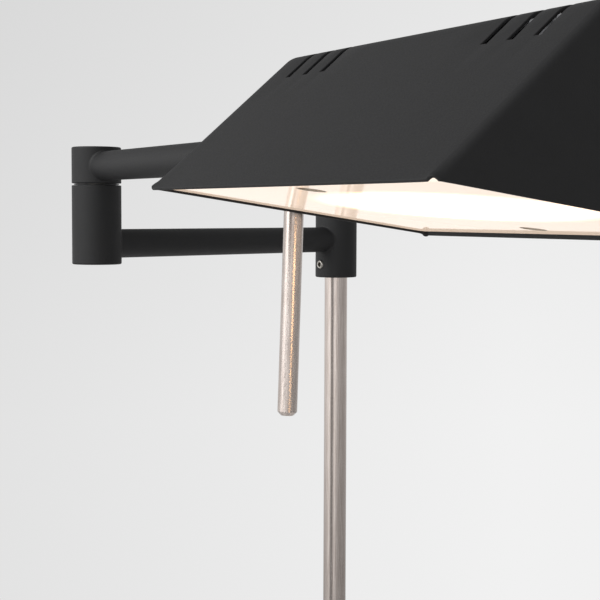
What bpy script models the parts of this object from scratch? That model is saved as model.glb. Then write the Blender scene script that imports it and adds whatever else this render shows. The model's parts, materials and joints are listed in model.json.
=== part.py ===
"""Adjustable swing-arm floor lamp.

A steel pole on a weighted disc carries two arms that swing one above the other, and the upper arm
carries a folded-sheet shade that rolls about the arm's axis. A turning rod under the head dims it.

Frame: metres, +Z up. The origin is the centre of the base's underside, the pole is on the Z axis,
and the upper arm and the shade point along -Y in the rest position.
"""
import math

import bmesh
import bpy

MM = 0.001
CLEAR = 0.3 * MM  # gap between pieces that touch

# Base
BASE_DIA = 250.0 * MM
COVER_TOP = 20.0 * MM
COVER_WALL = 1.5 * MM
COVER_EDGE = 4.0 * MM
COVER_LIFT = 1.0 * MM
PAD_DIA = 236.0 * MM
PAD_THICK = 2.0 * MM
RECESS_DIA = 56.0 * MM
RECESS_DEPTH = 9.0 * MM
GROMMET_DIA = 13.0 * MM
GROMMET_BORE = 6.5 * MM
GROMMET_PROUD = 2.2 * MM
FLANGE_HEIGHT = 8.0 * MM
FLANGE_EDGE = 1.2 * MM  # height of the ring's rim
FLANGE_CREST = 1.5 * MM  # width of the flat round the pole

# Pole
POLE_DIA = 16.0 * MM
FLANGE_DIA = POLE_DIA + 26.0 * MM
POLE_WALL = 1.3 * MM
POLE_JOINT_Z = 590.0 * MM
COUPLER_LEN = 60.0 * MM
FOOT_PLUG_LEN = 30.0 * MM

# Threaded hollow tubes and their nuts, which hold the lamp together and carry its wires
NIPPLE_DIA = 10.0 * MM
NIPPLE_BORE = 6.0 * MM
NUT_FLATS = 16.0 * MM
NUT_THICK = 5.5 * MM
WASHER_THICK = 1.5 * MM
SPRING_THICK = 1.6 * MM
SPRING_SPLIT = 1.6 * MM

# Arms
LOWER_AXIS_Z = 1150.0 * MM
AXIS_RISE = 45.5 * MM  # upper arm's axis above the lower arm's
LOWER_REACH = 215.0 * MM  # pole axis to elbow axis
LOWER_AZIMUTH = math.radians(-162.5)
ARM_DIA = 17.2 * MM
ARM_WALL = 1.5 * MM
PLUG_LEN = 14.0 * MM

# Collar on top of the pole
BARREL_DIA = 29.0 * MM
BARREL_EDGE = 0.6 * MM
COLLAR_HEIGHT = 46.4 * MM
COLLAR_DROP = 26.5 * MM  # collar's bottom below the lower arm's axis
COLLAR_BORE = POLE_DIA + 4.0 * MM
COLLAR_CHAMBER = 14.0 * MM
COLLAR_ROOF = 5.0 * MM
POLE_IN_COLLAR = 2.0 * MM
JOURNAL_LEN = 18.2 * MM
SPIGOT_STEM = 28.0 * MM
SPIGOT_BORE = 8.0 * MM
THRUST_THICK = 0.8 * MM
SET_SCREW_DIA = 6.0 * MM
SET_SCREW_RISE = 9.0 * MM
SET_SCREW_AZIMUTH = math.radians(-172.0)
SET_SCREW_PROUD = 0.7 * MM
GROOVE_DEPTH = 1.7 * MM
SOCKET_FLATS = 3.0 * MM
SOCKET_DEPTH = 3.0 * MM

# Elbow
ELBOW_DROP = 12.0 * MM  # lower barrel's bottom below the lower arm's axis
ELBOW_RISE = AXIS_RISE - ARM_DIA / 2 - 1.9 * MM  # middle of the joint above the lower arm's axis
JOINT_GAP = 1.2 * MM
UPPER_BARREL_HEIGHT = ARM_DIA + 4.0 * MM
BARREL_BORE = 22.0 * MM
LOWER_WEB = 7.0 * MM
UPPER_WEB = 6.0 * MM
PIVOT_PROUD = 2.0 * MM  # pivot tube past the nut and past the upper web
CAP_THICK = 3.0 * MM
BEARING_DIA = BARREL_DIA - 2.6 * MM

# Head
SHADE_START = 243.0 * MM  # elbow axis to the shade's inner end panel
SHADE_GAP = 1.2 * MM
SOCKET_DIA = ARM_DIA + 8.8 * MM
SOCKET_LEN = 26.0 * MM
SOCKET_TUBE_DEPTH = 10.0 * MM
SPINDLE_INSIDE = 14.0 * MM
HEAD_LEAN = math.radians(2.0)
ROD_SETBACK = 6.0 * MM  # rod's axis from the shade's end panel
ROD_DIA = 8.8 * MM
ROD_END = 116.5 * MM  # rod's lower end below the arm's axis
ROD_CHAMFER = 1.7 * MM
ROD_NECK_DIA = 3.8 * MM
DIMMER_DIA = 7.0 * MM
DIMMER_HEIGHT = 4.2 * MM
ROD_BUSH_HEIGHT = 2.2 * MM
SHADE_WASHER_EXTRA = 2.0 * MM  # inner washer's edge past the nut's flats

# Shade: a trapezium in section, open below
SHADE_LEN = 200.0 * MM
SHADE_WIDTH = 140.0 * MM
SHADE_TOP_WIDTH = 22.0 * MM
SHADE_HEIGHT = 67.0 * MM
RIM_DROP = 27.0 * MM  # rim below the arm's axis
SHEET = 1.2 * MM
RIDGE_BEND = 12.0 * MM
CORNER_BEND = 3.0 * MM
SHADE_ROLL = math.radians(8.0)
SLOT_WIDTH = 3.6 * MM
SLOT_PITCH = 13.8 * MM
SLOT_FIRST = 19.9 * MM
SLOT_COUNT = 3
SLOT_END_ALONG = 71.5 * MM  # slot's lower end up the side panel from the rim
RELIEF_RADIUS = 2.2 * MM
RELIEF_HEIGHT = 1.3 * MM
BEAD_RADIUS = 1.9 * MM  # bead that closes a corner of the right-hand side
BEAD_RISE = 0.7 * MM  # bead's middle above the rim
BEAD_SETBACK = 2.3 * MM

# Light inside the shade
DIFFUSER_THICK = 3.0 * MM
DIFFUSER_RECESS = 1.0 * MM
DIFFUSER_GAP = 0.5 * MM
SCREW_OFFSET = SHADE_WIDTH / 2 - 19.0 * MM
EYELET_DIA = 11.0 * MM
EYELET_WALL = 0.5 * MM
EYELET_DEPTH = 1.8 * MM
DIFFUSER_SCREW_HEAD = 6.8 * MM
DIFFUSER_SCREW_HEIGHT = 1.0 * MM
DIFFUSER_SCREW_EDGE = 0.4 * MM
DIFFUSER_SCREW_DIA = 4.0 * MM
DIFFUSER_SCREW_REACH = 3.5 * MM  # past the plate's upper face
SINK_WIDTH = 30.0 * MM
SINK_BOTTOM = SHADE_HEIGHT - RIM_DROP - 16.0 * MM
SINK_PLATE = 4.0 * MM
SINK_FIN = 1.6 * MM
SINK_LEG_SPREAD = 8.4 * MM
SINK_LEN = SHADE_LEN - 50.0 * MM
SINK_FIN_SETBACK = 2.0 * MM
BOARD_WIDTH = 24.0 * MM
BOARD_THICK = 1.6 * MM
REFLECTOR_SHEET = 0.8 * MM
REFLECTOR_SETBACK = 18.0 * MM
REFLECTOR_RUN = 6.0 * MM
REFLECTOR_GAP = 1.5 * MM

# Values that follow from the ones above
POLE_R = POLE_DIA / 2
POLE_BORE_R = POLE_R - POLE_WALL
PLUG_R = POLE_BORE_R - CLEAR
NIPPLE_R = NIPPLE_DIA / 2
NIPPLE_HOLE_R = NIPPLE_R + CLEAR
BARREL_R = BARREL_DIA / 2
BARREL_BORE_R = BARREL_BORE / 2
ARM_R = ARM_DIA / 2
ARM_BORE_R = ARM_R - ARM_WALL
UPPER_AXIS_Z = LOWER_AXIS_Z + AXIS_RISE
COLLAR_BOTTOM = LOWER_AXIS_Z - COLLAR_DROP
POLE_TOP = COLLAR_BOTTOM + POLE_IN_COLLAR
JOURNAL_TOP = POLE_TOP + CLEAR + JOURNAL_LEN
SHOULDER_Z = JOURNAL_TOP + THRUST_THICK + 2 * CLEAR
ELBOW_BOTTOM = LOWER_AXIS_Z - ELBOW_DROP
LOWER_BARREL_TOP = LOWER_AXIS_Z + ELBOW_RISE - JOINT_GAP / 2
UPPER_BARREL_BOTTOM = LOWER_BARREL_TOP + JOINT_GAP
UPPER_BARREL_TOP = UPPER_BARREL_BOTTOM + UPPER_BARREL_HEIGHT
LOWER_WEB_Z = LOWER_BARREL_TOP - LOWER_WEB
UPPER_WEB_Z = UPPER_BARREL_BOTTOM + UPPER_WEB
ELBOW_X = LOWER_REACH * math.cos(LOWER_AZIMUTH)
ELBOW_Y = LOWER_REACH * math.sin(LOWER_AZIMUTH)
SOCKET_FRONT = SHADE_START - SHADE_GAP
SOCKET_BACK = SOCKET_FRONT - SOCKET_LEN
SOCKET_R = SOCKET_DIA / 2
ROD_ALONG = SHADE_START - ROD_SETBACK
HALF_WIDTH = SHADE_WIDTH / 2
HALF_TOP = SHADE_TOP_WIDTH / 2
SIDE_SPREAD = HALF_WIDTH - HALF_TOP
SLANT = math.atan2(SHADE_HEIGHT, SIDE_SPREAD)
RIM_Z = -RIM_DROP
TOP_Z = SHADE_HEIGHT - RIM_DROP
SHEET_ACROSS = SHEET / math.sin(SLANT)
DIFFUSER_Z = RIM_Z + DIFFUSER_RECESS

lamp = None
cutters = None


# Scene, materials and collections


def clear_scene():
    """Remove everything that the new scene starts with."""
    for old in list(bpy.data.objects):
        bpy.data.objects.remove(old, do_unlink=True)


def new_collection(name):
    collection = bpy.data.collections.new(name)
    bpy.context.scene.collection.children.link(collection)
    return collection


def new_material(name, colour, roughness, metallic=0.0):
    """A Principled material from a linear colour."""
    material = bpy.data.materials.new(name)
    material.use_nodes = True
    material.diffuse_color = (*colour, 1.0)
    shader = material.node_tree.nodes["Principled BSDF"]
    shader.inputs["Base Color"].default_value = (*colour, 1.0)
    shader.inputs["Roughness"].default_value = roughness
    shader.inputs["Metallic"].default_value = metallic
    return material


BLACK_COAT = ("black powder coat", (0.035, 0.035, 0.037), 0.65)
STAINLESS = ("brushed stainless steel", (0.55, 0.52, 0.49), 0.28, 1.0)
ZINC = ("zinc plated steel", (0.48, 0.48, 0.5), 0.35, 1.0)
BRASS = ("brass", (0.55, 0.42, 0.2), 0.35, 1.0)
CAST_IRON = ("cast iron", (0.08, 0.08, 0.08), 0.7, 0.6)
FELT = ("felt", (0.03, 0.03, 0.03), 0.95)
RUBBER = ("rubber", (0.02, 0.02, 0.02), 0.8)
NYLON = ("nylon", (0.75, 0.74, 0.7), 0.5)
ACRYLIC = ("opal acrylic", (0.9, 0.88, 0.84), 0.15)
WHITE_COAT = ("white reflector coat", (0.85, 0.85, 0.83), 0.5)
ALUMINIUM = ("aluminium", (0.6, 0.6, 0.61), 0.4, 1.0)
BOARD = ("white solder mask", (0.8, 0.8, 0.78), 0.5)
DARK_PLASTIC = ("dark plastic", (0.05, 0.05, 0.06), 0.5)


def finish(item, look, parent=None, location=(0, 0, 0), rotation=(0, 0, 0), keep=True):
    """Place an object in its parent's frame and give it its material and collection."""
    (lamp if keep else cutters).objects.link(item)
    item.parent = parent
    item.location = location
    item.rotation_euler = rotation
    if keep:
        name = look[0]
        material = bpy.data.materials.get(name) or new_material(*look)
        item.data.materials.append(material)
    else:
        item.hide_render = True
        item.display_type = 'WIRE'
    return item


def axis_empty(name, parent, location, rotation=(0, 0, 0)):
    """An empty on a joint's axis, which the moving pieces hang from."""
    empty = bpy.data.objects.new(name, None)
    lamp.objects.link(empty)
    empty.parent = parent
    empty.location = location
    empty.rotation_euler = rotation
    return empty


# Shapes


def ring_steps(radius):
    """Segments round a circle, by its size."""
    if radius > 60 * MM:
        return 48
    if radius > 12 * MM:
        return 28
    if radius > 4.3 * MM:
        return 18
    return 12 if radius > 2.5 * MM else 10


def turned(name, profile, look, **place):
    """A turned piece from (radius, height) points, down the outside first."""
    mesh = bpy.data.meshes.new(name)
    on_axis = profile[0][0] == 0
    points = [(radius, 0, height) for radius, height in profile]
    count = len(points)
    links = [(i, i + 1) for i in range(count - 1)]
    if not on_axis:
        links.append((count - 1, 0))
    mesh.from_pydata(points, links, [])
    item = bpy.data.objects.new(name, mesh)
    screw = item.modifiers.new("turn", 'SCREW')
    screw.steps = ring_steps(max(radius for radius, _ in profile))
    screw.render_steps = screw.steps
    screw.use_merge_vertices = True
    screw.merge_threshold = 0.01 * MM
    screw.use_smooth_shade = True
    if on_axis:
        weld = item.modifiers.new("axis", 'WELD')
        weld.merge_threshold = 0.01 * MM
    return finish(item, look, **place)


def ring(outer, inner, low, high, edge=0.0):
    """Profile of a plain ring, with an optional chamfer on its two outer edges."""
    if edge:
        outside = [(outer - edge, high), (outer, high - edge), (outer, low + edge), (outer - edge, low)]
    else:
        outside = [(outer, high), (outer, low)]
    return outside + [(inner, low), (inner, high)]


def disc(radius, low, high, edge=0.0):
    """Profile of a solid disc or shaft, with an optional chamfer."""
    if edge:
        outside = [(radius - edge, high), (radius, high - edge), (radius, low + edge), (radius - edge, low)]
    else:
        outside = [(radius, high), (radius, low)]
    return [(0, high)] + outside + [(0, low)]


def arc(centre, radius, start, end, count):
    """Points on an arc in the profile plane, from one angle to another."""
    steps = [start + (end - start) * i / count for i in range(count + 1)]
    return [(centre[0] + radius * math.cos(a), centre[1] + radius * math.sin(a)) for a in steps]


def bmesh_object(name, builder):
    """An object whose mesh a function fills."""
    mesh = bpy.data.meshes.new(name)
    shape = bmesh.new()
    builder(shape)
    bmesh.ops.recalc_face_normals(shape, faces=shape.faces)
    shape.to_mesh(mesh)
    shape.free()
    return bpy.data.objects.new(name, mesh)


def prism(name, flats, low, high):
    """A hexagonal bar between two heights, measured across its flats."""
    def build(shape):
        corner = flats / math.sqrt(3)
        bmesh.ops.create_cone(shape, cap_ends=True, segments=6, radius1=corner, radius2=corner,
                              depth=high - low)
        bmesh.ops.translate(shape, verts=shape.verts, vec=(0, 0, (low + high) / 2))
    return bmesh_object(name, build)


def box(name, low, high):
    """A box between two corners."""
    def build(shape):
        bmesh.ops.create_cube(shape, size=1.0)
        size = [b - a for a, b in zip(low, high)]
        middle = [(a + b) / 2 for a, b in zip(low, high)]
        bmesh.ops.scale(shape, verts=shape.verts, vec=size)
        bmesh.ops.translate(shape, verts=shape.verts, vec=middle)
    return bmesh_object(name, build)


def ball(name, radius):
    def build(shape):
        bmesh.ops.create_icosphere(shape, subdivisions=2, radius=radius)
    return bmesh_object(name, build)


def frustum(name, half_low, half_high, ends_low, ends_high, low, high, open_faces=(), corner=0.0):
    """A box whose lower and upper outlines differ, with some faces open and its upright edges round."""
    def build(shape):
        bmesh.ops.create_cube(shape, size=2.0)
        for vert in shape.verts:
            upper = vert.co.z > 0
            half = half_high if upper else half_low
            ends = ends_high if upper else ends_low
            vert.co.x = half if vert.co.x > 0 else -half
            vert.co.y = ends[1] if vert.co.y > 0 else ends[0]
            vert.co.z = high if upper else low
        shape.normal_update()
        gone = [f for f in shape.faces if any(f.normal.z * side > 0.9 for side in open_faces)]
        bmesh.ops.delete(shape, geom=gone, context='FACES_ONLY')
        if corner:
            upright = [e for e in shape.edges if abs(e.verts[0].co.z - e.verts[1].co.z) > (high - low) / 2]
            bmesh.ops.bevel(shape, geom=upright, offset=corner, segments=3, profile=0.5, affect='EDGES')
    return bmesh_object(name, build)


def cutter_rod(name, radius, length, parent, location, rotation, start=0.0):
    """A round cutter that runs along its own +Z from a height above its location."""
    def build(shape):
        bmesh.ops.create_cone(shape, cap_ends=True, segments=ring_steps(radius), radius1=radius,
                              radius2=radius, depth=length)
        bmesh.ops.translate(shape, verts=shape.verts, vec=(0, 0, start + length / 2))
    return finish(bmesh_object(name, build), None, parent, location, rotation, keep=False)


def cutter(item, parent, location=(0, 0, 0), rotation=(0, 0, 0)):
    return finish(item, None, parent, location, rotation, keep=False)


def cut(item, tool, operation='DIFFERENCE'):
    boolean = item.modifiers.new(tool.name, 'BOOLEAN')
    boolean.operation = operation
    boolean.solver = 'EXACT'
    boolean.object = tool
    return item


def nut(name, low, look, parent, location=(0, 0, 0), rotation=(0, 0, 0)):
    """A hexagon nut on a hollow threaded tube, above a height on its own axis."""
    item = finish(prism(name, NUT_FLATS, low, low + NUT_THICK), look, parent, location, rotation)
    hole = cutter_rod(name + "_hole", NIPPLE_HOLE_R, NUT_THICK * 3, parent, location, rotation,
                      low - NUT_THICK)
    return cut(item, hole)


def spring_washer(name, outer, low, parent, location=(0, 0, 0), rotation=(0, 0, 0)):
    """A split ring."""
    item = turned(name, ring(outer, NIPPLE_HOLE_R, low, low + SPRING_THICK), ZINC,
                  parent=parent, location=location, rotation=rotation)
    split = box(name + "_split", (0, -SPRING_SPLIT / 2, low - SPRING_THICK),
                (outer * 2, SPRING_SPLIT / 2, low + SPRING_THICK * 2))
    return cut(item, cutter(split, parent, location, rotation))


def nipple(name, low, high, **place):
    """A hollow threaded tube."""
    return turned(name, ring(NIPPLE_R, NIPPLE_BORE / 2, low, high), ZINC, **place)


# Base


def build_base():
    weight_r = BASE_DIA / 2 - COVER_WALL - CLEAR
    weight_low = PAD_THICK + CLEAR
    weight_high = COVER_TOP - COVER_WALL - CLEAR
    recess_top = weight_low + RECESS_DEPTH

    turned("base_pad", disc(PAD_DIA / 2, 0, PAD_THICK), FELT)

    corner = COVER_EDGE
    weight = turned("base_weight", [
        (weight_r - corner, weight_high), (weight_r, weight_high - corner), (weight_r, weight_low),
        (RECESS_DIA / 2, weight_low), (RECESS_DIA / 2, recess_top), (NIPPLE_HOLE_R, recess_top),
        (NIPPLE_HOLE_R, weight_high)], CAST_IRON)
    grommet_z = PAD_THICK + GROMMET_DIA / 2
    wall_r = GROMMET_DIA / 2 - COVER_WALL
    slot_half = wall_r + CLEAR
    channel = box("cord_channel", (-slot_half, 0, -PAD_THICK), (slot_half, BASE_DIA, grommet_z + slot_half))
    cut(weight, cutter(channel, None))

    outer = BASE_DIA / 2
    inner = outer - COVER_WALL
    outside = arc((outer - corner, COVER_TOP - corner), corner, math.pi / 2, 0, 3)
    inside = arc((outer - corner, COVER_TOP - corner), corner - COVER_WALL, 0, math.pi / 2, 3)
    cover = turned("base_cover", outside + [(outer, COVER_LIFT), (inner, COVER_LIFT)] + inside
                   + [(NIPPLE_HOLE_R, COVER_TOP - COVER_WALL), (NIPPLE_HOLE_R, COVER_TOP)], BLACK_COAT)
    hole = cutter_rod("grommet_hole", wall_r + CLEAR, COVER_WALL * 8, None,
                      (0, outer - COVER_WALL * 4, grommet_z), (-math.pi / 2, 0, 0))
    cut(cover, hole)
    lip = GROMMET_DIA / 2
    bore = GROMMET_BORE / 2
    turned("cord_grommet", [
        (lip - CLEAR * 2, outer + GROMMET_PROUD), (lip, outer + CLEAR * 2), (wall_r, outer + CLEAR * 2),
        (wall_r, inner - CLEAR * 4), (bore, inner - CLEAR * 4), (bore, outer + GROMMET_PROUD)],
        RUBBER, location=(0, 0, grommet_z), rotation=(-math.pi / 2, 0, 0))

    washer_high = recess_top - CLEAR
    washer_low = washer_high - WASHER_THICK
    turned("base_washer", ring(RECESS_DIA / 3, NIPPLE_HOLE_R, washer_low, washer_high), ZINC)
    nut_low = washer_low - CLEAR - NUT_THICK
    nut("base_nut", nut_low, ZINC, None)
    plug_low = COVER_TOP + CLEAR
    nipple("base_nipple", nut_low + CLEAR, plug_low + FOOT_PLUG_LEN - CLEAR)

    low = COVER_TOP + CLEAR
    high = low + FLANGE_HEIGHT
    flange_in = POLE_R + CLEAR
    flange_out = FLANGE_DIA / 2
    turned("pole_flange", [
        (flange_in + FLANGE_CREST, high), (flange_in + FLANGE_CREST * 2, high - FLANGE_EDGE),
        (flange_out - FLANGE_CREST, low + FLANGE_EDGE * 2), (flange_out, low + FLANGE_EDGE),
        (flange_out, low), (flange_in, low), (flange_in, high)], STAINLESS)


# Pole


def build_pole():
    foot = COVER_TOP + CLEAR
    turned("pole_lower", ring(POLE_R, POLE_BORE_R, foot, POLE_JOINT_Z), STAINLESS)
    turned("pole_upper", ring(POLE_R, POLE_BORE_R, POLE_JOINT_Z + CLEAR, POLE_TOP), STAINLESS)
    turned("pole_foot_plug", ring(PLUG_R, NIPPLE_HOLE_R, foot, foot + FOOT_PLUG_LEN), ZINC)
    turned("pole_coupler", ring(PLUG_R, SPIGOT_BORE / 2, POLE_JOINT_Z - COUPLER_LEN / 2,
                                POLE_JOINT_Z + COUPLER_LEN / 2), ZINC)

    groove_r = POLE_R - GROOVE_DEPTH
    groove_z = COLLAR_BOTTOM + SET_SCREW_RISE
    groove_half = SET_SCREW_DIA / 2 + CLEAR
    journal_low = POLE_TOP + CLEAR
    turned("swivel_spigot", [
        (POLE_R, JOURNAL_TOP), (POLE_R, groove_z + groove_half), (groove_r, groove_z + groove_half),
        (groove_r, groove_z - groove_half), (POLE_R, groove_z - groove_half), (POLE_R, journal_low),
        (PLUG_R, journal_low), (PLUG_R, journal_low - SPIGOT_STEM),
        (SPIGOT_BORE / 2, journal_low - SPIGOT_STEM), (SPIGOT_BORE / 2, JOURNAL_TOP)], ZINC)


# Lower arm, from the collar on the pole to the elbow's lower barrel


def build_collar(pivot):
    top = COLLAR_BOTTOM + COLLAR_HEIGHT
    bore = COLLAR_BORE / 2
    chamber = COLLAR_CHAMBER / 2
    roof = top - COLLAR_ROOF
    collar = turned("pole_collar", [
        (0, top), (BARREL_R - BARREL_EDGE, top), (BARREL_R, top - BARREL_EDGE),
        (BARREL_R, COLLAR_BOTTOM + BARREL_EDGE), (BARREL_R - BARREL_EDGE, COLLAR_BOTTOM),
        (bore, COLLAR_BOTTOM), (bore, SHOULDER_Z), (chamber, SHOULDER_Z), (chamber, roof), (0, roof)],
        BLACK_COAT, parent=pivot)
    along = (0, math.pi / 2, LOWER_AZIMUTH)
    cut(collar, cutter_rod("collar_arm_hole", NIPPLE_HOLE_R, BARREL_DIA, pivot,
                           (0, 0, LOWER_AXIS_Z), along))
    screw_turn = (0, math.pi / 2, SET_SCREW_AZIMUTH)
    screw_z = COLLAR_BOTTOM + SET_SCREW_RISE
    screw_hole = SET_SCREW_DIA / 2 + CLEAR
    cut(collar, cutter_rod("collar_screw_hole", screw_hole, BARREL_DIA, pivot, (0, 0, screw_z), screw_turn))

    bush = turned("swivel_bush", ring(bore - CLEAR, POLE_R + CLEAR, COLLAR_BOTTOM + 0.5 * MM,
                                      JOURNAL_TOP - CLEAR), NYLON, parent=pivot)
    cut(bush, cutter_rod("bush_screw_hole", screw_hole, BARREL_DIA, pivot, (0, 0, screw_z), screw_turn))
    thrust_low = JOURNAL_TOP + CLEAR
    thrust_high = thrust_low + THRUST_THICK
    turned("thrust_washer", ring(bore - CLEAR, SPIGOT_BORE / 2 + CLEAR, thrust_low, thrust_high), NYLON,
           parent=pivot)

    tip = POLE_R - GROOVE_DEPTH + CLEAR
    head = BARREL_R + SET_SCREW_PROUD
    screw = turned("collar_screw", disc(SET_SCREW_DIA / 2, tip, head, BARREL_EDGE), ZINC, parent=pivot,
                   location=(0, 0, screw_z), rotation=screw_turn)
    socket = prism("collar_screw_socket", SOCKET_FLATS, head - SOCKET_DEPTH, head + SOCKET_DEPTH)
    cut(screw, cutter(socket, pivot, (0, 0, screw_z), screw_turn))


def cope(tube, parent, spot):
    """Cut a tube's end to fit round an upright barrel."""
    cut(tube, cutter_rod(tube.name + "_cope", BARREL_R + CLEAR, BARREL_DIA * 2, parent, spot, (0, 0, 0),
                         -BARREL_DIA))


def build_lower_arm(pivot):
    along = (0, math.pi / 2, LOWER_AZIMUTH)
    place = {"parent": pivot, "location": (0, 0, LOWER_AXIS_Z), "rotation": along}
    tube = turned("lower_arm_tube", ring(ARM_R, ARM_BORE_R, BARREL_R / 2, LOWER_REACH - BARREL_R / 2),
                  BLACK_COAT, **place)
    cope(tube, pivot, (0, 0, LOWER_AXIS_Z))
    cope(tube, pivot, (ELBOW_X, ELBOW_Y, LOWER_AXIS_Z))

    near = BARREL_R + 2 * CLEAR
    far = LOWER_REACH - near
    plug = ARM_BORE_R - CLEAR
    turned("lower_arm_plug_inner", ring(plug, NIPPLE_HOLE_R, near, near + PLUG_LEN), ZINC, **place)
    turned("lower_arm_plug_outer", ring(plug, NIPPLE_HOLE_R, far - PLUG_LEN, far), ZINC, **place)
    nipple("lower_arm_nipple_inner", COLLAR_BORE / 2 + CLEAR, near + PLUG_LEN, **place)
    nipple("lower_arm_nipple_outer", far - PLUG_LEN, LOWER_REACH - BARREL_BORE_R - CLEAR, **place)


def build_elbow_lower(pivot):
    """The fixed half of the elbow, in the frame of the elbow's own axis."""
    barrel = turned("elbow_lower_barrel", [
        (BARREL_R - BARREL_EDGE, LOWER_BARREL_TOP), (BARREL_R, LOWER_BARREL_TOP - BARREL_EDGE),
        (BARREL_R, ELBOW_BOTTOM + BARREL_EDGE), (BARREL_R - BARREL_EDGE, ELBOW_BOTTOM),
        (BARREL_BORE_R, ELBOW_BOTTOM), (BARREL_BORE_R, LOWER_WEB_Z),
        (NIPPLE_HOLE_R, LOWER_WEB_Z), (NIPPLE_HOLE_R, LOWER_BARREL_TOP)], BLACK_COAT,
        parent=pivot, location=(ELBOW_X, ELBOW_Y, 0))
    back = (0, math.pi / 2, LOWER_AZIMUTH + math.pi)
    cut(barrel, cutter_rod("elbow_lower_arm_hole", NIPPLE_HOLE_R, BARREL_DIA, pivot,
                           (ELBOW_X, ELBOW_Y, LOWER_AXIS_Z), back))
    spot = {"parent": pivot, "location": (ELBOW_X, ELBOW_Y, 0)}
    cap_low = ELBOW_BOTTOM + CLEAR
    turned("elbow_bottom_cap", disc(BARREL_BORE_R - CLEAR, cap_low, cap_low + CAP_THICK, BARREL_EDGE / 2),
           BLACK_COAT, **spot)
    washer_high = LOWER_WEB_Z - CLEAR
    washer_low = washer_high - WASHER_THICK
    turned("elbow_washer", ring(BARREL_BORE_R - 2 * CLEAR, NIPPLE_HOLE_R, washer_low, washer_high),
           ZINC, **spot)
    spring_low = washer_low - CLEAR - SPRING_THICK
    spring_washer("elbow_spring_washer", NUT_FLATS / 2, spring_low, **spot)
    gap_low = LOWER_BARREL_TOP + CLEAR
    turned("elbow_bearing", ring(BEARING_DIA / 2, NIPPLE_HOLE_R, gap_low, gap_low + JOINT_GAP - 2 * CLEAR),
           DARK_PLASTIC, **spot)
    return spring_low


# Upper arm, from the elbow's upper barrel to the head socket


def build_elbow_upper(pivot, spring_low):
    """The swinging half of the elbow, with the pivot tube and its nut."""
    barrel = turned("elbow_upper_barrel", [
        (BARREL_R - BARREL_EDGE, UPPER_BARREL_TOP), (BARREL_R, UPPER_BARREL_TOP - BARREL_EDGE),
        (BARREL_R, UPPER_BARREL_BOTTOM + BARREL_EDGE), (BARREL_R - BARREL_EDGE, UPPER_BARREL_BOTTOM),
        (NIPPLE_HOLE_R, UPPER_BARREL_BOTTOM), (NIPPLE_HOLE_R, UPPER_WEB_Z),
        (BARREL_BORE_R, UPPER_WEB_Z), (BARREL_BORE_R, UPPER_BARREL_TOP)], BLACK_COAT, parent=pivot)
    cut(barrel, cutter_rod("elbow_upper_arm_hole", NIPPLE_HOLE_R, BARREL_DIA, pivot,
                           (0, 0, UPPER_AXIS_Z), (math.pi / 2, 0, 0)))
    cap_high = UPPER_BARREL_TOP - CLEAR
    turned("elbow_top_cap", disc(BARREL_BORE_R - CLEAR, cap_high - CAP_THICK, cap_high, BARREL_EDGE / 2),
           BLACK_COAT, parent=pivot)
    nut_low = spring_low - CLEAR - NUT_THICK
    nut("elbow_nut", nut_low, ZINC, pivot)
    nipple("elbow_pivot_tube", nut_low - PIVOT_PROUD, UPPER_WEB_Z + PIVOT_PROUD, parent=pivot)


def build_upper_arm(pivot):
    along = (math.pi / 2, 0, 0)
    place = {"parent": pivot, "location": (0, 0, UPPER_AXIS_Z), "rotation": along}
    tube_end = SOCKET_BACK + SOCKET_TUBE_DEPTH - CLEAR
    tube = turned("upper_arm_tube", ring(ARM_R, ARM_BORE_R, BARREL_R / 2, tube_end), BLACK_COAT, **place)
    cope(tube, pivot, (0, 0, UPPER_AXIS_Z))
    near = BARREL_R + 2 * CLEAR
    turned("upper_arm_plug", ring(ARM_BORE_R - CLEAR, NIPPLE_HOLE_R, near, near + PLUG_LEN), ZINC, **place)
    nipple("upper_arm_nipple", BARREL_BORE_R + CLEAR, near + PLUG_LEN, **place)


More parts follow.
